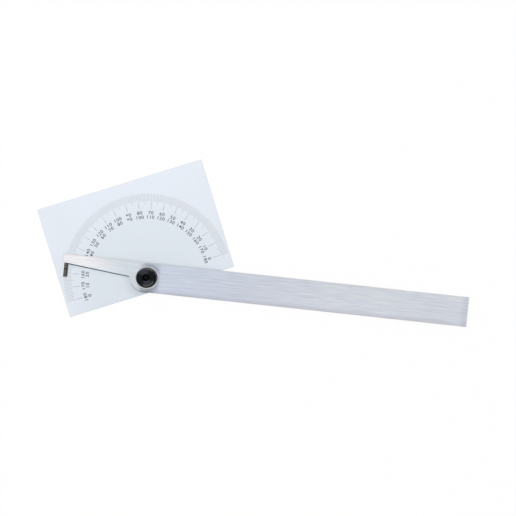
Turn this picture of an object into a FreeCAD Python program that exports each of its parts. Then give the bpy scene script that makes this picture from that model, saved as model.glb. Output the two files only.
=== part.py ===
import FreeCAD, Part
import math
import os

# Machinist's protractor: a rectangular scale plate, a swinging blade and a round lock nut.
# Millimetres. The origin is on the pivot axis at the plate's back face, +Z points at the
# reader, and the plate's long edges run along X.

V = FreeCAD.Vector
UP = V(0, 0, 1)
ORIGIN = V(0, 0, 0)
SAME = 1e-6

# Scale plate
plate_length = 82.5
plate_height = 53.9
plate_thickness = 1.0
plate_edge_break = 0.12

# Graduations: grooves on circles about the pivot, one for each degree
scale_span = 180
scale_step = 1
scale_outer_radius = 40.3
degree_line_length = 3.6
five_degree_line_length = 5.0
ten_degree_line_length = 7.4
line_width = 0.14
line_depth = 0.05

# Blade: a straight rule on one side of the pivot, a cut-away pointer on the other
blade_width = 14.4
blade_thickness = 1.2
blade_reach = 154.5
pointer_reach = 41.0
blade_edge_break = 0.12
reading_angle = 23.3

# Cut-away of the pointer, measured from the blade's centre line
boss_setback = 1.3
pointer_root_drop = 0.75
pointer_tip_rise = 2.3
pointer_bevel_width = 0.55
bevel_edge_thickness = 0.25

# Index tab at the end of the pointer
tab_width = 2.5
tab_drop = 3.8
tab_land_width = 0.7
tab_corner_radius = 0.35
index_line_width = 0.18
index_line_depth = 0.1

# Pivot stud: a countersunk head staked in the plate, a journal and a threaded end
journal_diameter = 6.0
journal_clearance = 0.05
journal_recess = 0.05
stud_head_overhang = 0.85
stud_head_land = 0.2
stud_head_recess = 0.05
stud_end_depth = 1.2
stud_end_chamfer = 0.3
stud_end_point = 0.25

# Metric thread of the stud and the nut, drawn as plain cylinders at its core diameter
thread_diameter = 4.0
thread_pitch = 0.7
thread_clearance = 0.05
thread_core_diameter = thread_diameter - 1.0825 * thread_pitch

# Wave washer, pressed nearly flat by the nut
wave_count = 3
wave_outer_diameter = 9.8
wave_thickness = 0.25
wave_rise = 0.2
wave_seat_gap = 0.015
wave_points = 36
washer_clearance = 0.2

# Clamp washer
clamp_outer_diameter = 11.0
clamp_thickness = 0.5
clamp_edge_break = 0.1

# Lock nut: straight knurl, chamfers and a countersunk tapped hole
nut_diameter = 9.7
nut_height = 4.5
nut_top_chamfer = 1.0
nut_top_chamfer_drop = 0.6
nut_edge_round = 0.25
nut_bottom_chamfer = 0.35
nut_countersink = 0.35
knurl_count = 40
knurl_depth = 0.28
knurl_flank_angle = 45.0

# The stack on the pivot, from the plate's back upwards
blade_bottom = plate_thickness
blade_top = blade_bottom + blade_thickness
wave_height = wave_thickness + wave_rise + 2 * wave_seat_gap
clamp_bottom = blade_top + wave_height
nut_bottom = clamp_bottom + clamp_thickness
nut_top = nut_bottom + nut_height

# Radii that two pieces share
half_width = blade_width / 2
journal_radius = journal_diameter / 2
stud_head_radius = journal_radius + stud_head_overhang
nut_bore_radius = thread_core_diameter / 2
stud_thread_radius = nut_bore_radius - thread_clearance
washer_bore_radius = thread_diameter / 2 + washer_clearance
nut_radius = nut_diameter / 2


def polygon_face(points):
    return Part.Face(Part.makePolygon(points + points[:1]))


def revolved(profile):
    """A solid of revolution about the pivot axis, from (radius, height) points."""
    face = polygon_face([V(radius, 0, height) for radius, height in profile])
    return face.revolve(ORIGIN, UP, 360)


def lies_at(low, high, place):
    return abs(low - place) < SAME and abs(high - place) < SAME


def break_edges(sheet, size, heights):
    """Chamfer the edges of a flat sheet's outline, at its two faces' heights."""
    edges = [
        edge
        for edge in sheet.Edges
        if any(lies_at(edge.BoundBox.ZMin, edge.BoundBox.ZMax, height) for height in heights)
    ]
    return sheet.makeChamfer(size, edges)


def graduation(angle):
    """The groove of one degree line, on the +X side and turned to its angle."""
    if angle % 10 == 0:
        length = ten_degree_line_length
    elif angle % 5 == 0:
        length = five_degree_line_length
    else:
        length = degree_line_length
    corner = V(scale_outer_radius - length, -line_width / 2, plate_thickness - line_depth)
    groove = Part.makeBox(length, line_width, 2 * line_depth, corner)
    groove.rotate(ORIGIN, UP, angle)
    return groove


def make_scale_plate():
    """The rectangular plate: its lower edge is in line with the blade's at 0 degrees."""
    corner = V(-plate_length / 2, -half_width, 0)
    sheet = Part.makeBox(plate_length, plate_height, plate_thickness, corner)
    sheet = break_edges(sheet, plate_edge_break, [0, plate_thickness])
    stud_hole = revolved([
        (0, -plate_thickness),
        (stud_head_radius, -plate_thickness),
        (stud_head_radius, stud_head_recess),
        (journal_radius, plate_thickness - stud_head_land),
        (journal_radius, 2 * plate_thickness),
        (0, 2 * plate_thickness),
    ])
    angles = range(0, scale_span + 1, scale_step)
    return sheet.cut([stud_hole] + [graduation(angle) for angle in angles])


def make_pivot_stud():
    """The staked stud: its head fills the plate's countersink and its journal carries the blade."""
    journal_top = blade_top - journal_recess
    stud_top = nut_top - stud_end_depth
    return revolved([
        (0, stud_head_recess),
        (stud_head_radius, stud_head_recess),
        (journal_radius, plate_thickness - stud_head_land),
        (journal_radius, journal_top),
        (stud_thread_radius, journal_top),
        (stud_thread_radius, stud_top - stud_end_chamfer),
        (stud_thread_radius - stud_end_chamfer, stud_top),
        (0, stud_top + stud_end_point),
    ])


def on_boss(angle):
    """A point of the round boss behind the pivot, at an angle in degrees."""
    turned = math.radians(angle)
    centre = V(-boss_setback, 0, blade_bottom)
    return centre + V(math.cos(turned), math.sin(turned), 0) * half_width


def pointer_root_angle():
    """Where the pointer's lower edge meets the boss."""
    return 180 + math.degrees(math.asin(pointer_root_drop / half_width))


def blade_outline():
    """The blade seen from above, with the pointer towards -X and the rule towards +X."""
    tab_inner = tab_width - pointer_reach
    corners = [
        on_boss(270),
        V(blade_reach, -half_width, blade_bottom),
        V(blade_reach, half_width, blade_bottom),
        V(-pointer_reach, half_width, blade_bottom),
        V(-pointer_reach, -tab_drop, blade_bottom),
        V(tab_inner, -tab_drop, blade_bottom),
        V(tab_inner, pointer_tip_rise, blade_bottom),
        on_boss(pointer_root_angle()),
    ]
    edges = [
        Part.LineSegment(start, end).toShape() for start, end in zip(corners, corners[1:])
    ]
    middle = on_boss((pointer_root_angle() + 270) / 2)
    edges.append(Part.Arc(corners[-1], middle, corners[0]).toShape())
    return Part.Face(Part.Wire(edges))


def round_tab_corners(blade):
    """Round the two free corners of the index tab."""
    corners = [
        edge
        for edge in blade.Edges
        if lies_at(edge.BoundBox.YMin, edge.BoundBox.YMax, -tab_drop)
        and edge.BoundBox.ZLength > SAME
    ]
    return blade.makeFillet(tab_corner_radius, corners)


def bevel_wedge(start, end, inward, width, sweep):
    """The space above a sloping plane that leaves bevel_edge_thickness at the line start-end.

    The plane meets the blade's top face at width along inward, and the wedge covers
    sweep on the other side of the line.
    """
    slope = (blade_thickness - bevel_edge_thickness) / width
    low = -blade_thickness
    high = 2 * blade_thickness
    base = V(start.x, start.y, blade_bottom + bevel_edge_thickness)
    section = polygon_face([
        base + inward * (high / slope) + UP * high,
        base + inward * (low / slope) + UP * low,
        base - inward * sweep + UP * low,
        base - inward * sweep + UP * high,
    ])
    return section.extrude(end - start)


def notch_bevel():
    """The tool that bevels the pointer's lower edge and the tab, with a mitre between them."""
    root = on_boss(pointer_root_angle())
    tip = V(tab_width - pointer_reach, pointer_tip_rise, blade_bottom)
    tab_end = V(tip.x, -tab_drop, blade_bottom)
    along = (tip - root).normalize()
    past_tab = tip + along * pointer_reach
    past_tab_end = tab_end - V(0, tab_drop, 0)
    above_tip = V(tip.x, half_width, blade_bottom)
    inward = along.cross(UP)
    pointer_wedge = bevel_wedge(root, past_tab, inward, pointer_bevel_width, blade_width)
    tab_bevel_width = tab_width - tab_land_width
    tab_wedge = bevel_wedge(above_tip, past_tab_end, V(-1, 0, 0), tab_bevel_width, pointer_reach)
    return pointer_wedge.common(tab_wedge)


def index_groove(bevel):
    """The index line: the bevel repeated a little deeper in a slot on the centre line."""
    corner = V(tab_land_width - pointer_reach, -index_line_width / 2, 0)
    slot = Part.makeBox(tab_width, index_line_width, 2 * blade_top, corner)
    deeper = bevel.copy()
    deeper.translate(UP * -index_line_depth)
    return deeper.common(slot)


def make_blade():
    """The blade with its bevelled pointer edge, index tab, boss and pivot hole."""
    blade = blade_outline().extrude(UP * blade_thickness)
    blade = round_tab_corners(blade)
    blade = break_edges(blade, blade_edge_break, [blade_bottom, blade_top])
    bore_radius = journal_radius + journal_clearance
    pivot_hole = Part.makeCylinder(bore_radius, 2 * blade_top)
    bevel = notch_bevel()
    return blade.cut([pivot_hole, bevel, index_groove(bevel)])


def make_wave_washer():
    """A thin ring that rises and falls wave_count times round the stud."""
    middle = (blade_top + clamp_bottom) / 2
    inner_radius = washer_bore_radius
    outer_radius = wave_outer_diameter / 2

    def rim(radius, offset):
        points = []
        for index in range(wave_points):
            turn = 2 * math.pi * index / wave_points
            height = middle + offset + wave_rise / 2 * math.cos(wave_count * turn)
            points.append(V(radius * math.cos(turn), radius * math.sin(turn), height))
        curve = Part.BSplineCurve()
        curve.interpolate(points, PeriodicFlag=True)
        return curve.toShape()

    half = wave_thickness / 2
    rims = [
        rim(inner_radius, -half),
        rim(outer_radius, -half),
        rim(outer_radius, half),
        rim(inner_radius, half),
    ]
    faces = [
        Part.makeRuledSurface(first, second)
        for first, second in zip(rims, rims[1:] + rims[:1])
    ]
    shell = Part.Shell(faces)
    shell.sewShape()
    return Part.Solid(Part.Shell(shell.Faces))


def make_clamp_washer():
    """The flat washer that spreads the nut's grip."""
    outer_radius = clamp_outer_diameter / 2
    return revolved([
        (washer_bore_radius, clamp_bottom),
        (outer_radius - clamp_edge_break, clamp_bottom),
        (outer_radius, clamp_bottom + clamp_edge_break),
        (outer_radius, nut_bottom - clamp_edge_break),
        (outer_radius - clamp_edge_break, nut_bottom),
        (washer_bore_radius, nut_bottom),
    ])


def knurl_groove(index):
    """One straight groove of the knurl, the whole height of the nut."""
    half_mouth = knurl_depth * math.tan(math.radians(knurl_flank_angle))
    root = nut_radius - knurl_depth
    groove = polygon_face([
        V(root, 0, nut_bottom),
        V(root + 2 * knurl_depth, 2 * half_mouth, nut_bottom),
        V(root + 2 * knurl_depth, -2 * half_mouth, nut_bottom),
    ]).extrude(UP * nut_height)
    groove.rotate(ORIGIN, UP, 360.0 * index / knurl_count)
    return groove


def round_rim(solid, radius, height, size):
    """Fillet the circular edge at a radius and a height."""
    rim = [
        edge
        for edge in solid.Edges
        if lies_at(edge.BoundBox.ZMin, edge.BoundBox.ZMax, height)
        and abs(edge.Length - 2 * math.pi * radius) < SAME
    ]
    return solid.makeFillet(size, rim)


def make_lock_nut():
    """The round knurled nut that clamps the blade by hand."""
    body = revolved([
        (nut_bore_radius, nut_bottom),
        (nut_radius - nut_bottom_chamfer, nut_bottom),
        (nut_radius, nut_bottom + nut_bottom_chamfer),
        (nut_radius, nut_top - nut_top_chamfer_drop),
        (nut_radius - nut_top_chamfer, nut_top),
        (nut_bore_radius + nut_countersink, nut_top),
        (nut_bore_radius, nut_top - nut_countersink),
    ])
    body = round_rim(body, nut_radius - nut_top_chamfer, nut_top, nut_edge_round)
    return body.cut([knurl_groove(index) for index in range(knurl_count)])


def save(name, shape):
    shape.exportStep("parts/" + name + ".step")
    print(name, len(shape.Solids), shape.isValid(), round(shape.Volume, 3))


def main():
    os.makedirs("parts", exist_ok=True)
    blade = make_blade()
    blade.rotate(ORIGIN, UP, -reading_angle)
    save("scale_plate", make_scale_plate())
    save("pivot_stud", make_pivot_stud())
    save("blade", blade)
    save("wave_washer", make_wave_washer())
    save("clamp_washer", make_clamp_washer())
    save("lock_nut", make_lock_nut())


main()
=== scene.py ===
import math

import bpy
from mathutils import Matrix, Vector


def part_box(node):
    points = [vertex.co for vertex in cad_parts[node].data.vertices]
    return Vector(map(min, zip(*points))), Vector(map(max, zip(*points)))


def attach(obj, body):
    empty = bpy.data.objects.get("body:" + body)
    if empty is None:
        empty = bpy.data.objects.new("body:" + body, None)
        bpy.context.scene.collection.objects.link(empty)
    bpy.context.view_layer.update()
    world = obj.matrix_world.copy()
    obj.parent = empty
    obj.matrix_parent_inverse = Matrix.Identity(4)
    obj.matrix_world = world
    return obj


# The finishes, numbers, light and camera of a steel protractor. Metres, in the part's own frame:
# the origin is on the pivot axis at the plate's back face, and +Z points at the reader.

# Azimuths are degrees in the picture, counted from the right towards the top. A FADE is where a
# shade begins and where it is full. A SECTOR is an azimuth with such a pair of cosines of the
# angle to it. A TINT multiplies the colour under it, and other triples are colours. A ROUGHNESS or
# a SHARE with two values is a middle and the swing of a noise about it.

MM = 0.001

# The pose of the blade in the photograph, and the blade's own places: u runs along it from the
# pivot to the far end, and v across it towards its upper edge
READING_ANGLE = math.radians(23.3)
ALONG_BLADE = (math.cos(READING_ANGLE), -math.sin(READING_ANGLE), 0)
ACROSS_BLADE = (math.sin(READING_ANGLE), math.cos(READING_ANGLE), 0)
HALF_WIDTH = 7.2 * MM
BLADE_REACH = 154.5 * MM
BOSS_SETBACK = 1.3 * MM
NOTCH_END_U = -9 * MM
TAB_INNER_U = -38.5 * MM
TAB_LAND_U = -40.3 * MM
TAB_LAND_TOP_V = 2 * MM
INDEX_HALF_WIDTH = 0.2 * MM

# Rows of numbers on the plate: radii of their middle lines, and the prints' height above its face
PRINT_HEIGHT = 0.008 * MM
OUTER_ROW_RADIUS = 31.2 * MM
INNER_ROW_RADIUS = 29.1 * MM
NUMBER_STEP = 10
LAST_NUMBER = 180
UPRIGHT_NUMBER = 90
NUMBER_HEIGHT = 1.6 * MM
NUMBER_WIDTH_SHARE = 1.10
NUMBER_SPACING = 1.13
STROKE_SWELL = 0.01

# Camera: straight above, with the plate's base edge turned in the picture
CAMERA_TURN = -17.13
CAMERA_HEIGHT = 380 * MM
PICTURE_WIDTH = 248.08 * MM
PICTURE_CENTRE = Vector((53.46, -6.66)) * MM
SENSOR_WIDTH = 36.0
NEAR_CLIP = 0.01
FAR_CLIP = 20.0

# Light: a white sky, a white floor, and two soft lamps by azimuth, elevation and watts
ZENITH = (1.0, 1.0, 1.0)
HORIZON = (0.84, 0.85, 0.87)
SKY_FADE = (0.0, 0.8)
SKY_SLOPE = 0.15
SKY_SLOPE_AZIMUTH = 90
LAMPS = {"key_softbox": (114, 60, 0.5), "fill_softbox": (212, 40, 0.2)}
LAMP_DISTANCE = 0.8
LAMP_SIZE = 0.4
FLOOR_HALF = 10.0
FLOOR_DROP = 0.02 * MM
FLOOR_PAINT = (0.9, 0.9, 0.9, 1)
FLOOR_WHITE = (1, 1, 1, 1)
FLOOR_WHITE_SHARE = 0.94

# Scale plate: satin chrome, with painted shade inside the arc and below the boss. Its etched lines
# are found by their depth below its face, and the long ones reach further in than the rest
PLATE_STEEL = (0.714, 0.753, 0.816)
PLATE_METALLIC = 0.6
PLATE_CLOUD_SCALE = 60
PLATE_GRAIN_SCALE = 2600
PLATE_GRAIN_HEIGHT = 0.004 * MM
PLATE_SWING = 0.03
PLATE_ROUGHNESS = (0.46, 0.05)
ARC_SHADE_FADE = (42 * MM, 24 * MM)
ARC_SHADE_TINT = (0.944, 0.962, 0.957)
BOSS_SHADE_FADE = (13 * MM, 7.8 * MM)
BOSS_SHADE_SECTOR = (222, 0.35, 0.85)
BOSS_SHADE_STRENGTH = 0.12
SHORT_LINE = (0.46, 0.475, 0.49)
LONG_LINE = (0.2, 0.21, 0.215)
LONG_LINE_FADE = (36.2 * MM, 34.6 * MM)
LINE_DEPTH_FADE = (0.01 * MM, 0.03 * MM)
LINE_FLOOR_FADE = (0.08 * MM, 0.06 * MM)

# Blade: steel brushed along its length, whose tone changes along it: its own colour with a painted
# reflection, brighter towards the pointer and the far end
BLADE_METALLIC = 0.95
BLADE_ROUGHNESS = (0.48, 0.06)
FINE_STREAK_SIZE = (12 * MM, 0.22 * MM)
FINE_STREAK_SWING = 0.36
FINE_STREAK_HEIGHT = 0.006 * MM
BROAD_STREAK_SIZE = (30 * MM, 0.8 * MM)
BROAD_STREAK_SWING = 0.11
BLADE_CLOUD_SCALE = 35
BLADE_CLOUD_SWING = 0.03
# Steel colour with a painted reflection, by stretches along the blade
NEAR_STEEL = (0.70, 0.752, 0.868)
FAR_STEEL_AND_SHEEN = (0.866, 0.90, 0.992)
FAR_STEEL_FADE = (0, 100 * MM)
ROOT_STEEL_AND_SHEEN = (0.73, 0.785, 0.845)
ROOT_STEEL_FADE = (8 * MM, -7 * MM)
POINTER_STEEL_AND_SHEEN = (0.937, 0.93, 0.957)
POINTER_STEEL_FADE = (-8 * MM, -34 * MM)

# Painted shade on the blade: the nut's blurred reflection, the long edges, the boss's rim, the
# sides, the lower side of the face and the far end
NUT_IMAGE_TINT = (0.62, 0.62, 0.67)
NUT_IMAGE_ABOVE_SECTOR = (67, 0.55, 0.97)
NUT_IMAGE_ABOVE_FADE = (7.6 * MM, 5.3 * MM)
NUT_IMAGE_BELOW_SECTOR = (263, 0.8, 0.98)
NUT_IMAGE_BELOW_FADE = (5.3 * MM, 6.6 * MM)
NUT_IMAGE_BELOW_STRENGTH = 0.52
EDGE_SHADE_FADE = (HALF_WIDTH - 1.1 * MM, HALF_WIDTH - 0.4 * MM)
EDGE_SHADE_TINT = (0.97, 0.955, 0.92)
BOSS_RIM_FADE = (HALF_WIDTH - 0.6 * MM, HALF_WIDTH - 0.1 * MM)
BOSS_RIM_LOW_FADE = (-2 * MM, -7 * MM)
BOSS_RIM_MIDDLE_U = -4 * MM
BOSS_RIM_END_FADE = (6 * MM, 4 * MM)
BOSS_RIM_SHADE_TINT = (0.5, 0.54, 0.52)
SIDE_SHADE_TINT = (0.88, 0.87, 0.85)
LOW_SIDE_FADE = (-4.6 * MM, -6.2 * MM)
LOW_SIDE_START_FADE = (0, 15 * MM)
LOW_SIDE_SHADE_TINT = (0.91, 0.9, 0.905)
FAR_END_FADE = (BLADE_REACH - 4.2 * MM, BLADE_REACH - 1.6 * MM)
FAR_END_SHADE_TINT = (0.905, 0.905, 0.9)

# Bevels of the notch and the index tab: depths below the blade's face, margins that keep their
# paint off the neighbouring faces, and colours: painted shade on the bevels, a painted highlight on
# the land, and the index line
SIDE_DEPTH = 0.015 * MM
BEVEL_DEPTH = 0.03 * MM
BEVEL_FOOT = 0.2 * MM
BEVEL_MARGIN = 0.15 * MM
LAND_MARGIN = 0.05 * MM
BEVEL_EXTRA_ROUGHNESS = 0.15
BEVEL_TIP = (0.05, 0.09, 0.12)
BEVEL_ROOT = (0.13, 0.205, 0.25)
BEVEL_ROOT_FADE = (-38 * MM, -12 * MM)
TAB_LAND = (0.9, 0.885, 0.9)
TAB_OUTER = (0.095, 0.096, 0.084)
TAB_MIDDLE = (0.15, 0.155, 0.142)
TAB_MIDDLE_FADE = (TAB_LAND_U + 0.2 * MM, TAB_LAND_U + 0.8 * MM)
TAB_INNER = (0.075, 0.084, 0.092)
TAB_INNER_FADE = (TAB_INNER_U - 0.8 * MM, TAB_INNER_U - 0.5 * MM)
TAB_SPOT_SCALE = 1500
TAB_SPOT_SWING = 0.7
INDEX_LINE = (0.008, 0.008, 0.009)

# Washers: name of the finish, dim and bright colour of their painted reflection, roughness and pitch
# of the turned rings
WASHERS = {
    "wave_washer": ("spring_steel_finish", (0.40, 0.41, 0.43), (0.5, 0.51, 0.53), 0.35, 0.2 * MM),
    "clamp_washer": ("washer_steel_finish", (0.52, 0.525, 0.54), (0.84, 0.845, 0.86), 0.16, 0.15 * MM),
}
WASHER_SHEEN_AZIMUTH = 5
WASHER_SHEEN_FADE = (0.1, 0.95)
WASHER_GRAIN_SCALE = 4000
WASHER_GRAIN_SWING = 0.05
WASHER_RING_SWING = 0.12
WASHER_RING_HEIGHT = 0.01 * MM
WASHER_RING_STRENGTH = 0.6

# Lock nut: blackened steel with a turned face; painted highlights on the face, rim, hole lip and
# chamfer, and painted shade on part of the chamfer
NUT_BLACK = (0.003, 0.0033, 0.005)
NUT_DUST = (0.012, 0.012, 0.014)
NUT_DUST_SHARE = (0.12, 0.1)
NUT_GRAIN_SCALE = 5200
NUT_GROOVE_SIZE = (0.22 * MM, 0.4 * MM)
NUT_GROOVE_HEIGHT = 0.02 * MM
NUT_GROOVE_STRENGTH = 0.7
NUT_ROUGHNESS = (0.36, 0.1)
NUT_ANISOTROPY = 0.8
NUT_SPECULAR = 0.105
NUT_SPECULAR_LOSS = 0.095
NUT_WALL_FADE = (0.5 * MM, 0.7 * MM)
SHINE = (0.030, 0.034, 0.044)
SHINE_AZIMUTH = 106
SHINE_FADE = (0.58, 0.99)
SHINE_HOLE_FADE = (1.5 * MM, 2.2 * MM)
SHINE_RING_PITCH = 0.5 * MM
SHINE_RING_SWING = 0.9
SHINE_NOISE_SLICE = 3.0
# Painted shade and highlights on the chamfer, and painted highlights on the rim and the hole's lip
CHAMFER_FADE = (4.0 * MM, 4.15 * MM)
CHAMFER_SHADE_SECTOR = (312, 0.3, 0.8)
CHAMFER_LIT = (0.1, 0.103, 0.112)
CHAMFER_LIT_SECTOR = (93, 0.5, 0.9)
CHAMFER_LIT_STRENGTH = 0.85
RIM_HIGHLIGHT = (0.15, 0.15, 0.16)
RIM_HIGHLIGHT_RADIUS = 3.9 * MM
RIM_HIGHLIGHT_FADE = (0.26 * MM, 0.12 * MM)
RIM_HIGHLIGHT_SECTOR = (296, 0.66, 0.86)
RIM_HIGHLIGHT_STRENGTH = 0.85
HOLE_LIP_HIGHLIGHT = (0.06, 0.06, 0.066)
HOLE_LIP_RADIUS = 1.75 * MM
HOLE_LIP_FADE = (0.35 * MM, 0.15 * MM)
HOLE_LIP_SECTOR = (280, 0.55, 0.95)
HOLE_LIP_STRENGTH = 0.8

# Pivot stud: bright below the blade's face; above it, painted shade makes it nearly black, with a
# painted glint on its point
STUD_HOLE_SHADE = (0.0035, 0.003, 0.003)
STUD_DUST = (0.01, 0.009, 0.009)
STUD_DUST_SHARE = (0.1, 0.1)
STUD_POINT_GLINT = (0.018, 0.013, 0.011)
STUD_GLINT_FADE = (0.55 * MM, 0.3 * MM)
STUD_JOURNAL = (0.45, 0.45, 0.46)
STUD_JOURNAL_START = 0.1 * MM
STUD_GRAIN_SCALE = 4000
STUD_GRAIN_HEIGHT = 0.004 * MM
STUD_ROUGHNESS = (0.35, 0.06)

# Ink of the numbers
INK = (0.035, 0.037, 0.042)
INK_SWING = 0.3
INK_GRAIN_SCALE = 9000
INK_GRAIN_HEIGHT = 0.002 * MM
INK_ROUGHNESS = (0.6, 0.1)


def picture_direction(azimuth, elevation=0.0):
    """A direction by its azimuth in the picture, counted from the right towards the top."""
    around = math.radians(azimuth + CAMERA_TURN)
    up = math.radians(elevation)
    return Vector((math.cos(around) * math.cos(up), math.sin(around) * math.cos(up), math.sin(up)))


def opaque(colour):
    """A typed-in colour with its alpha; a socket is passed on as it is."""
    return (*colour, 1) if isinstance(colour, tuple) else colour


class Nodes:
    """The node tree of a material or world, and short ways to add and join its nodes."""

    def __init__(self, owner):
        owner.use_nodes = True
        self.tree = owner.node_tree
        self.tree.nodes.clear()

    def link(self, source, target):
        """Feed a socket from another one, or set it to a value."""
        if isinstance(source, bpy.types.NodeSocket):
            self.tree.links.new(source, target)
        else:
            target.default_value = source

    def add(self, kind, *sources, **settings):
        """A new node, whose first inputs are fed in order."""
        node = self.tree.nodes.new(kind)
        for name, value in settings.items():
            setattr(node, name, value)
        for source, target in zip(sources, node.inputs):
            self.link(source, target)
        return node

    def math(self, operation, *values):
        return self.add("ShaderNodeMath", *values, operation=operation).outputs[0]

    def vector(self, operation, *values):
        return self.add("ShaderNodeVectorMath", *values, operation=operation).outputs["Vector"]

    def measure(self, operation, *vectors):
        """A vector operation whose result is one number, such as LENGTH."""
        return self.add("ShaderNodeVectorMath", *vectors, operation=operation).outputs["Value"]

    def product(self, *factors):
        result = factors[0]
        for factor in factors[1:]:
            result = self.math("MULTIPLY", result, factor)
        return result

    def rest(self, share):
        """What a share leaves of one."""
        return self.math("SUBTRACT", 1.0, share)

    def ramp(self, value, low, high):
        """0 at low and 1 at high, with a smooth step between them; high may be the smaller."""
        node = self.add("ShaderNodeMapRange", value, low, high, interpolation_type="SMOOTHSTEP")
        return node.outputs["Result"]

    def varied(self, noise, middle, swing):
        """The middle, plus or minus about the swing, following a noise of 0 to 1."""
        return self.math("MULTIPLY_ADD", noise, 2 * swing, middle - swing)

    def mix(self, share, first, second):
        """The first colour at a share of 0, the second at 1."""
        node = self.add("ShaderNodeMix", data_type="RGBA")
        self.link(share, node.inputs["Factor"])
        self.link(opaque(first), node.inputs["A"])
        self.link(opaque(second), node.inputs["B"])
        return node.outputs["Result"]

    def tint(self, share, colour, factor):
        """A colour that is multiplied by a factor where the share is 1."""
        return self.mix(share, colour, self.vector("MULTIPLY", colour, factor))

    def scaled(self, colour, share):
        """A colour whose brightness is multiplied by a share."""
        return self.vector("MULTIPLY", colour, self.join(share, share, share))

    def noise(self, place, scale, detail=2.0):
        node = self.add("ShaderNodeTexNoise", place)
        node.inputs["Scale"].default_value = scale
        node.inputs["Detail"].default_value = detail
        return node.outputs["Fac"]

    def split(self, vector):
        return self.add("ShaderNodeSeparateXYZ", vector).outputs

    def join(self, x, y, z):
        return self.add("ShaderNodeCombineXYZ", x, y, z).outputs[0]

    def place(self):
        """The point on the piece at rest, in the part's frame."""
        return self.add("ShaderNodeTexCoord").outputs["Object"]

    def height(self):
        return self.split(self.place())[2]

    def depth(self, top):
        """How far the point lies below a height."""
        return self.math("SUBTRACT", top, self.height())

    def outward(self):
        """The vector from the pivot axis to the point."""
        return self.vector("MULTIPLY", self.place(), (1, 1, 0))

    def radius(self):
        """The distance from the pivot axis."""
        return self.measure("LENGTH", self.outward())

    def ring(self, radius, low, high):
        """A circle about the pivot axis, drawn by the distance from it."""
        off_circle = self.math("ABSOLUTE", self.math("SUBTRACT", self.radius(), radius))
        return self.ramp(off_circle, low, high)

    def towards(self, azimuth):
        """The cosine of the angle between an azimuth and the point's direction from the axis."""
        direction = self.vector("NORMALIZE", self.outward())
        return self.measure("DOT_PRODUCT", direction, picture_direction(azimuth))

    def sector(self, azimuth, low, high):
        """1 towards an azimuth and 0 away from it, faded between two cosines."""
        return self.ramp(self.towards(azimuth), low, high)

    def bump(self, height, distance, strength=1.0):
        node = self.add("ShaderNodeBump")
        node.inputs["Strength"].default_value = strength
        node.inputs["Distance"].default_value = distance
        self.link(height, node.inputs["Height"])
        return node.outputs["Normal"]

    def finish(self, colour, roughness, normal, metallic):
        """Close the tree with one Principled surface."""
        shader = self.add("ShaderNodeBsdfPrincipled")
        self.link(colour, shader.inputs["Base Color"])
        self.link(roughness, shader.inputs["Roughness"])
        shader.inputs["Metallic"].default_value = metallic
        self.link(normal, shader.inputs["Normal"])
        self.add("ShaderNodeOutputMaterial", shader.outputs[0])
        return shader

    def groove(self, shader, across, share):
        """Fine grooves: reflections spread in the direction across them, which turns with the piece."""
        carried = self.add("ShaderNodeVectorTransform", across, vector_type="VECTOR",
                           convert_from="OBJECT", convert_to="WORLD")
        self.link(share, shader.inputs["Anisotropic"])
        self.link(carried.outputs[0], shader.inputs["Tangent"])


def satin_plate():
    """Matt chromed sheet: fine grain, faint clouding, etched lines, and painted shade inside the arc
    and below the boss.
    """
    material = bpy.data.materials.new("satin_plate_finish")
    nodes = Nodes(material)
    clouds = nodes.noise(nodes.place(), PLATE_CLOUD_SCALE)
    grain = nodes.noise(nodes.place(), PLATE_GRAIN_SCALE)
    radius = nodes.radius()
    # Painted shade below the boss
    below_boss = nodes.product(
        nodes.ramp(radius, *BOSS_SHADE_FADE),
        nodes.sector(*BOSS_SHADE_SECTOR),
        BOSS_SHADE_STRENGTH,
    )
    share = nodes.product(
        nodes.varied(clouds, 1.0, PLATE_SWING),
        nodes.varied(grain, 1.0, PLATE_SWING),
        nodes.rest(below_boss),
    )
    plain = nodes.scaled(PLATE_STEEL, share)
    # Painted shade inside the arc
    plain = nodes.tint(nodes.ramp(radius, *ARC_SHADE_FADE), plain, ARC_SHADE_TINT)
    depth = nodes.depth(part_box("scale_plate")[1].z)
    etched = nodes.product(nodes.ramp(depth, *LINE_DEPTH_FADE), nodes.ramp(depth, *LINE_FLOOR_FADE))
    line = nodes.mix(nodes.ramp(radius, *LONG_LINE_FADE), SHORT_LINE, LONG_LINE)
    colour = nodes.mix(etched, plain, line)
    normal = nodes.bump(grain, PLATE_GRAIN_HEIGHT)
    nodes.finish(colour, nodes.varied(clouds, *PLATE_ROUGHNESS), normal, PLATE_METALLIC)
    return material


def streaks(nodes, u, v, z, length, width):
    """Noise drawn out along the blade: streaks of about that length and width."""
    along = nodes.math("DIVIDE", u, length)
    across = nodes.math("DIVIDE", v, width)
    upward = nodes.math("DIVIDE", z, width)
    return nodes.noise(nodes.join(along, across, upward), 1.0)


def nut_image(nodes):
    """Painted reflection: how far the nut's blurred image darkens the brushed steel above and below it.
    """
    radius = nodes.radius()
    above = nodes.product(
        nodes.sector(*NUT_IMAGE_ABOVE_SECTOR),
        nodes.ramp(radius, *NUT_IMAGE_ABOVE_FADE),
    )
    below = nodes.product(
        nodes.sector(*NUT_IMAGE_BELOW_SECTOR),
        nodes.ramp(radius, *NUT_IMAGE_BELOW_FADE),
        NUT_IMAGE_BELOW_STRENGTH,
    )
    return nodes.math("ADD", above, below)


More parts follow.
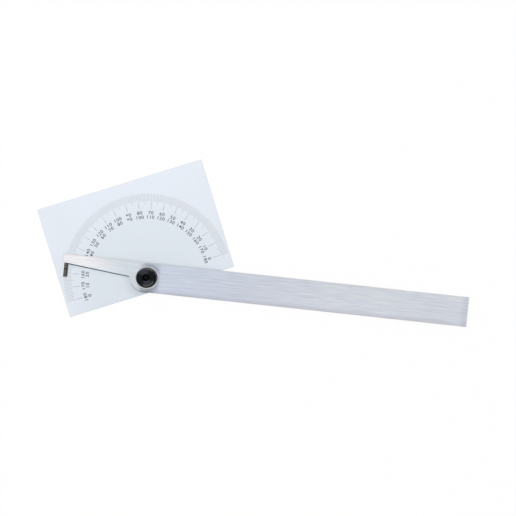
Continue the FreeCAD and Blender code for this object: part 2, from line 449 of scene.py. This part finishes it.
def blade_steel(nodes, u, v, share):
    """Brushed steel with painted reflections along it and of the nut, and painted shade on its edges
    and boss rim.
    """
    steel = nodes.scaled(NEAR_STEEL, share)
    # Painted reflection along the blade, over the steel's own colour
    stretches = (
        (FAR_STEEL_AND_SHEEN, FAR_STEEL_FADE),
        (ROOT_STEEL_AND_SHEEN, ROOT_STEEL_FADE),
        (POINTER_STEEL_AND_SHEEN, POINTER_STEEL_FADE),
    )
    for colour, fade in stretches:
        steel = nodes.mix(nodes.ramp(u, *fade), steel, nodes.scaled(colour, share))
    # Painted reflection of the nut
    steel = nodes.tint(nut_image(nodes), steel, NUT_IMAGE_TINT)
    # Painted shade along the long edges
    edge_shade = nodes.ramp(nodes.math("ABSOLUTE", v), *EDGE_SHADE_FADE)
    steel = nodes.tint(edge_shade, steel, EDGE_SHADE_TINT)
    # Painted shade on the boss's rim
    from_boss = nodes.measure("LENGTH", nodes.join(nodes.math("ADD", u, BOSS_SETBACK), v, 0.0))
    from_rim_middle = nodes.math("ABSOLUTE", nodes.math("SUBTRACT", u, BOSS_RIM_MIDDLE_U))
    rim = nodes.product(
        nodes.ramp(from_boss, *BOSS_RIM_FADE),
        nodes.ramp(v, *BOSS_RIM_LOW_FADE),
        nodes.ramp(from_rim_middle, *BOSS_RIM_END_FADE),
    )
    return nodes.tint(rim, steel, BOSS_RIM_SHADE_TINT)


def blade_face(nodes, u, v, steel):
    """The top face, with painted shade along its lower side and at its far end."""
    # Painted shade along the lower side and at the far end
    low_side = nodes.product(nodes.ramp(v, *LOW_SIDE_FADE), nodes.ramp(u, *LOW_SIDE_START_FADE))
    steel = nodes.tint(low_side, steel, LOW_SIDE_SHADE_TINT)
    return nodes.tint(nodes.ramp(u, *FAR_END_FADE), steel, FAR_END_SHADE_TINT)


def bevel_paint(nodes, u, v):
    """Painted shade on the bevels: blue-green along the pointer, uneven and spotted on the tab, with
    its index line.
    """
    edge = nodes.mix(nodes.ramp(u, *BEVEL_ROOT_FADE), BEVEL_TIP, BEVEL_ROOT)
    tab_shade = nodes.mix(nodes.ramp(u, *TAB_MIDDLE_FADE), TAB_OUTER, TAB_MIDDLE)
    tab_shade = nodes.mix(nodes.ramp(u, *TAB_INNER_FADE), tab_shade, TAB_INNER)
    spots = nodes.noise(nodes.place(), TAB_SPOT_SCALE, detail=1.0)
    tab_shade = nodes.scaled(tab_shade, nodes.varied(spots, 1.0, TAB_SPOT_SWING))
    on_index = nodes.math("LESS_THAN", nodes.math("ABSOLUTE", v), INDEX_HALF_WIDTH)
    tab = nodes.mix(on_index, tab_shade, INDEX_LINE)
    on_tab = nodes.math("LESS_THAN", u, TAB_INNER_U + BEVEL_MARGIN)
    return nodes.mix(on_tab, edge, tab)


def brushed_blade():
    """Steel brushed along its length, with painted shade on its sides and bevels, and a painted
    highlight on the tab's land.
    """
    material = bpy.data.materials.new("brushed_blade_finish")
    nodes = Nodes(material)
    u = nodes.measure("DOT_PRODUCT", nodes.place(), ALONG_BLADE)
    v = nodes.measure("DOT_PRODUCT", nodes.place(), ACROSS_BLADE)
    z = nodes.height()
    fine = streaks(nodes, u, v, z, *FINE_STREAK_SIZE)
    broad = streaks(nodes, u, v, z, *BROAD_STREAK_SIZE)
    clouds = nodes.noise(nodes.place(), BLADE_CLOUD_SCALE)
    share = nodes.product(
        nodes.varied(fine, 1.0, FINE_STREAK_SWING),
        nodes.varied(broad, 1.0, BROAD_STREAK_SWING),
        nodes.varied(clouds, 1.0, BLADE_CLOUD_SWING),
    )
    steel = blade_steel(nodes, u, v, share)
    depth = nodes.depth(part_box("blade")[1].z)
    # Painted shade on the sides
    on_side = nodes.math("GREATER_THAN", depth, SIDE_DEPTH)
    shaded_sides = nodes.vector("MULTIPLY", steel, SIDE_SHADE_TINT)
    steel = nodes.mix(on_side, blade_face(nodes, u, v, steel), shaded_sides)
    # Painted highlight on the tab's land
    on_land = nodes.product(
        nodes.math("LESS_THAN", u, TAB_LAND_U),
        nodes.math("LESS_THAN", v, TAB_LAND_TOP_V),
    )
    steel = nodes.mix(on_land, steel, TAB_LAND)
    # Painted shade on the bevels
    on_bevel = nodes.product(
        nodes.math("GREATER_THAN", depth, BEVEL_DEPTH),
        nodes.math("GREATER_THAN", z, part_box("blade")[0].z + BEVEL_FOOT),
        nodes.math("LESS_THAN", u, NOTCH_END_U),
        nodes.math("GREATER_THAN", u, TAB_LAND_U - LAND_MARGIN),
        nodes.math("LESS_THAN", v, HALF_WIDTH - BEVEL_MARGIN),
    )
    colour = nodes.mix(on_bevel, steel, bevel_paint(nodes, u, v))
    roughness = nodes.varied(fine, *BLADE_ROUGHNESS)
    roughness = nodes.math("ADD", roughness, nodes.product(on_bevel, BEVEL_EXTRA_ROUGHNESS))
    normal = nodes.bump(fine, FINE_STREAK_HEIGHT)
    shader = nodes.finish(colour, roughness, normal, BLADE_METALLIC)
    nodes.groove(shader, ACROSS_BLADE, nodes.rest(on_side))
    return material


def turned_rings(nodes, pitch, rise):
    """Noise in rings about the pivot axis, of about that pitch across them and rise along it."""
    outward = nodes.math("DIVIDE", nodes.radius(), pitch)
    upward = nodes.math("DIVIDE", nodes.height(), rise)
    return nodes.noise(nodes.join(outward, 0.0, upward), 1.0)


def turned_washer(name, dim, bright, roughness, ring_pitch):
    """Turned washer: fine rings, and a painted reflection that is bright to the left and right in the
    picture, dim between them.
    """
    material = bpy.data.materials.new(name)
    nodes = Nodes(material)
    rings = turned_rings(nodes, ring_pitch, ring_pitch)
    grain = nodes.noise(nodes.place(), WASHER_GRAIN_SCALE)
    share = nodes.product(
        nodes.varied(rings, 1.0, WASHER_RING_SWING),
        nodes.varied(grain, 1.0, WASHER_GRAIN_SWING),
    )
    # Painted reflection, bright to the left and right
    sheen = nodes.math("ABSOLUTE", nodes.towards(WASHER_SHEEN_AZIMUTH))
    sheen = nodes.ramp(sheen, *WASHER_SHEEN_FADE)
    colour = nodes.mix(sheen, nodes.scaled(dim, share), nodes.scaled(bright, share))
    roughness = nodes.varied(grain, roughness, WASHER_GRAIN_SWING)
    normal = nodes.bump(rings, WASHER_RING_HEIGHT, WASHER_RING_STRENGTH)
    nodes.finish(colour, roughness, normal, metallic=1.0)
    return material


def black_oxide():
    """Blackened steel: a turned face with two painted highlight fans, painted highlights on its rim,
    hole lip and chamfer, and painted shade on part of the chamfer.
    """
    material = bpy.data.materials.new("black_oxide_finish")
    nodes = Nodes(material)
    radius = nodes.radius()
    grooves = turned_rings(nodes, *NUT_GROOVE_SIZE)
    on_chamfer = nodes.ramp(radius, *CHAMFER_FADE)
    # Painted shade on the chamfer's lower right
    chamfer_shade = nodes.product(on_chamfer, nodes.sector(*CHAMFER_SHADE_SECTOR))
    outward = nodes.math("DIVIDE", radius, SHINE_RING_PITCH)
    coarse = nodes.noise(nodes.join(outward, SHINE_NOISE_SLICE, 0.0), 1.0, detail=1.0)
    # Painted highlight: two bright fans on the turned face
    shine = nodes.product(
        nodes.ramp(nodes.math("ABSOLUTE", nodes.towards(SHINE_AZIMUTH)), *SHINE_FADE),
        nodes.ramp(radius, *SHINE_HOLE_FADE),
        nodes.varied(coarse, 1.0, SHINE_RING_SWING),
        nodes.rest(chamfer_shade),
    )
    colour = nodes.mix(shine, NUT_BLACK, SHINE)
    rim_highlight = nodes.ring(RIM_HIGHLIGHT_RADIUS, *RIM_HIGHLIGHT_FADE)
    hole_lip = nodes.ring(HOLE_LIP_RADIUS, *HOLE_LIP_FADE)
    # Painted highlights on the rim, the hole's lip and the chamfer
    highlights = (
        (rim_highlight, RIM_HIGHLIGHT_SECTOR, RIM_HIGHLIGHT_STRENGTH, RIM_HIGHLIGHT),
        (hole_lip, HOLE_LIP_SECTOR, HOLE_LIP_STRENGTH, HOLE_LIP_HIGHLIGHT),
        (on_chamfer, CHAMFER_LIT_SECTOR, CHAMFER_LIT_STRENGTH, CHAMFER_LIT),
    )
    for band, sector, strength, tone in highlights:
        colour = nodes.mix(nodes.product(band, nodes.sector(*sector), strength), colour, tone)
    grain = nodes.noise(nodes.place(), NUT_GRAIN_SCALE, detail=3.0)
    colour = nodes.mix(nodes.varied(grain, *NUT_DUST_SHARE), colour, NUT_DUST)
    normal = nodes.bump(grooves, NUT_GROOVE_HEIGHT, NUT_GROOVE_STRENGTH)
    shader = nodes.finish(colour, nodes.varied(grooves, *NUT_ROUGHNESS), normal, metallic=0.0)
    wall = nodes.ramp(nodes.depth(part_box("lock_nut")[1].z), *NUT_WALL_FADE)
    loss = nodes.product(nodes.math("MAXIMUM", wall, chamfer_shade), NUT_SPECULAR_LOSS)
    nodes.link(nodes.math("SUBTRACT", NUT_SPECULAR, loss), shader.inputs["Specular IOR Level"])
    nodes.groove(shader, nodes.outward(), NUT_ANISOTROPY)
    return material


def dark_stud():
    """The stud, with painted shade that makes it nearly black down the nut's hole, and a painted brown
    glint on its point.
    """
    material = bpy.data.materials.new("turned_steel_finish")
    nodes = Nodes(material)
    grain = nodes.noise(nodes.place(), STUD_GRAIN_SCALE)
    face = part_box("blade")[1].z
    # Painted glint on the point, over painted shade down the hole
    point = nodes.ramp(nodes.radius(), *STUD_GLINT_FADE)
    journal = nodes.ramp(nodes.height(), face + STUD_JOURNAL_START, face)
    colour = nodes.mix(point, STUD_HOLE_SHADE, STUD_POINT_GLINT)
    colour = nodes.mix(journal, colour, STUD_JOURNAL)
    colour = nodes.mix(nodes.varied(grain, *STUD_DUST_SHARE), colour, STUD_DUST)
    normal = nodes.bump(grain, STUD_GRAIN_HEIGHT)
    nodes.finish(colour, nodes.varied(grain, *STUD_ROUGHNESS), normal, metallic=1.0)
    return material


def number_ink():
    """The filled etching of the numbers: matt near-black with a slightly broken surface."""
    material = bpy.data.materials.new("number_ink")
    nodes = Nodes(material)
    grain = nodes.noise(nodes.place(), INK_GRAIN_SCALE)
    colour = nodes.scaled(INK, nodes.varied(grain, 1.0, INK_SWING))
    normal = nodes.bump(grain, INK_GRAIN_HEIGHT)
    nodes.finish(colour, nodes.varied(grain, *INK_ROUGHNESS), normal, metallic=0.0)
    return material


def paint(node, material):
    """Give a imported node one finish."""
    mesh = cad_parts[node].data
    mesh.materials.clear()
    mesh.materials.append(material)


def number_mesh(text):
    """One number as a flat mesh, centred on the origin and reading along +X."""
    curve = bpy.data.curves.new("number_" + text, "FONT")
    curve.body = text
    curve.align_x = "CENTER"
    curve.space_character = NUMBER_SPACING
    curve.offset = STROKE_SWELL
    shape = bpy.data.objects.new("number_" + text, curve)
    bpy.context.scene.collection.objects.link(shape)
    bpy.context.view_layer.update()
    evaluated = shape.evaluated_get(bpy.context.evaluated_depsgraph_get())
    mesh = bpy.data.meshes.new_from_object(evaluated)
    bpy.data.objects.remove(shape)
    low = min(vertex.co.y for vertex in mesh.vertices)
    high = max(vertex.co.y for vertex in mesh.vertices)
    left = min(vertex.co.x for vertex in mesh.vertices)
    right = max(vertex.co.x for vertex in mesh.vertices)
    size = NUMBER_HEIGHT / (high - low)
    centre = Vector(((left + right) / 2, (low + high) / 2, 0))
    scale = Matrix.Diagonal((size * NUMBER_WIDTH_SHARE, size, 1, 1))
    mesh.transform(scale @ Matrix.Translation(-centre))
    return mesh


def scale_numbers(ink):
    """Both rows of numbers: 0 to 180 against the clock outside, and with it inside."""
    vertices = []
    faces = []
    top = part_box("scale_plate")[1].z + PRINT_HEIGHT
    for angle in range(0, LAST_NUMBER + 1, NUMBER_STEP):
        for radius, number in ((OUTER_ROW_RADIUS, angle), (INNER_ROW_RADIUS, LAST_NUMBER - angle)):
            mesh = number_mesh(str(number))
            turn = Matrix.Rotation(math.radians(angle - UPRIGHT_NUMBER), 4, "Z")
            place = turn @ Matrix.Translation((0, radius, top))
            first = len(vertices)
            vertices.extend(place @ vertex.co for vertex in mesh.vertices)
            faces.extend([first + index for index in face.vertices] for face in mesh.polygons)
            bpy.data.meshes.remove(mesh)
    mesh = bpy.data.meshes.new("scale_numbers")
    mesh.from_pydata(vertices, [], faces)
    mesh.materials.append(ink)
    numbers = bpy.data.objects.new("scale_numbers", mesh)
    bpy.context.scene.collection.objects.link(numbers)
    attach(numbers, "head")


def floor_white():
    """White to the camera and in reflections, pale matt paint to the rest of the light."""
    material = bpy.data.materials.new("floor_white")
    nodes = Nodes(material)
    matt = nodes.add("ShaderNodeBsdfDiffuse", FLOOR_PAINT)
    white = nodes.add("ShaderNodeEmission", FLOOR_WHITE)
    path = nodes.add("ShaderNodeLightPath").outputs
    seen = nodes.math("MAXIMUM", path["Is Camera Ray"], path["Is Glossy Ray"])
    seen = nodes.math("MAXIMUM", seen, path["Is Transmission Ray"])
    share = nodes.product(seen, FLOOR_WHITE_SHARE)
    mixed = nodes.add("ShaderNodeMixShader", share, matt.outputs[0], white.outputs[0])
    nodes.add("ShaderNodeOutputMaterial", mixed.outputs[0])
    return material


def pale_floor():
    """A white table under the plate that keeps a faint shadow."""
    mesh = bpy.data.meshes.new("floor")
    corners = [(x * FLOOR_HALF, y * FLOOR_HALF, 0) for x, y in ((-1, -1), (1, -1), (1, 1), (-1, 1))]
    mesh.from_pydata(corners, [], [(0, 1, 2, 3)])
    floor = bpy.data.objects.new("floor", mesh)
    floor.location.z = -FLOOR_DROP
    bpy.context.scene.collection.objects.link(floor)
    mesh.materials.append(floor_white())


def softbox(name, azimuth, elevation, energy):
    """A round area lamp that faces the part."""
    lamp = bpy.data.lights.new(name, "AREA")
    lamp.shape = "DISK"
    lamp.size = LAMP_SIZE
    lamp.energy = energy
    holder = bpy.data.objects.new(name, lamp)
    bpy.context.scene.collection.objects.link(holder)
    holder.location = picture_direction(azimuth, elevation) * LAMP_DISTANCE
    holder.rotation_euler = holder.location.to_track_quat("Z", "Y").to_euler()


def studio_light():
    """A white sky, darker towards the horizon and the picture's foot, and the soft lamps."""
    world = bpy.data.worlds.new("studio")
    bpy.context.scene.world = world
    nodes = Nodes(world)
    direction = nodes.add("ShaderNodeTexCoord").outputs["Generated"]
    sky = nodes.mix(nodes.ramp(nodes.split(direction)[2], *SKY_FADE), HORIZON, ZENITH)
    along = nodes.measure("DOT_PRODUCT", direction, picture_direction(SKY_SLOPE_AZIMUTH))
    slope = nodes.math("ADD", 1.0, nodes.product(along, SKY_SLOPE))
    background = nodes.add("ShaderNodeBackground", sky, slope)
    nodes.add("ShaderNodeOutputWorld", background.outputs[0])
    for name, (azimuth, elevation, energy) in LAMPS.items():
        softbox(name, azimuth, elevation, energy)


def camera():
    """Straight above the picture's centre, turned so that the plate leans as in the photograph."""
    data = bpy.data.cameras.new("camera")
    data.sensor_width = SENSOR_WIDTH
    data.sensor_fit = "HORIZONTAL"
    data.lens = SENSOR_WIDTH * CAMERA_HEIGHT / PICTURE_WIDTH
    data.clip_start = NEAR_CLIP
    data.clip_end = FAR_CLIP
    holder = bpy.data.objects.new("camera", data)
    bpy.context.scene.collection.objects.link(holder)
    plate_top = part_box("scale_plate")[1].z
    holder.location = (PICTURE_CENTRE.x, PICTURE_CENTRE.y, plate_top + CAMERA_HEIGHT)
    holder.rotation_euler = (0, 0, math.radians(CAMERA_TURN))
    bpy.context.scene.camera = holder


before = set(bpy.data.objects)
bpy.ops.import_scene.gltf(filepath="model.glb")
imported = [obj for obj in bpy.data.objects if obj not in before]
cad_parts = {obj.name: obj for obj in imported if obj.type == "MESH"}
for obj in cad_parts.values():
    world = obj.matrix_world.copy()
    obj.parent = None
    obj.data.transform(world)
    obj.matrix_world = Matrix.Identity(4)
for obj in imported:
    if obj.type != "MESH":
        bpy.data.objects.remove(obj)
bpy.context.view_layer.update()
bpy.context.scene.view_settings.view_transform = "Standard"
camera()
studio_light()
pale_floor()
paint("scale_plate", satin_plate())
paint("blade", brushed_blade())
paint("pivot_stud", dark_stud())
for washer, finish in WASHERS.items():
    paint(washer, turned_washer(*finish))
paint("lock_nut", black_oxide())
scale_numbers(number_ink())
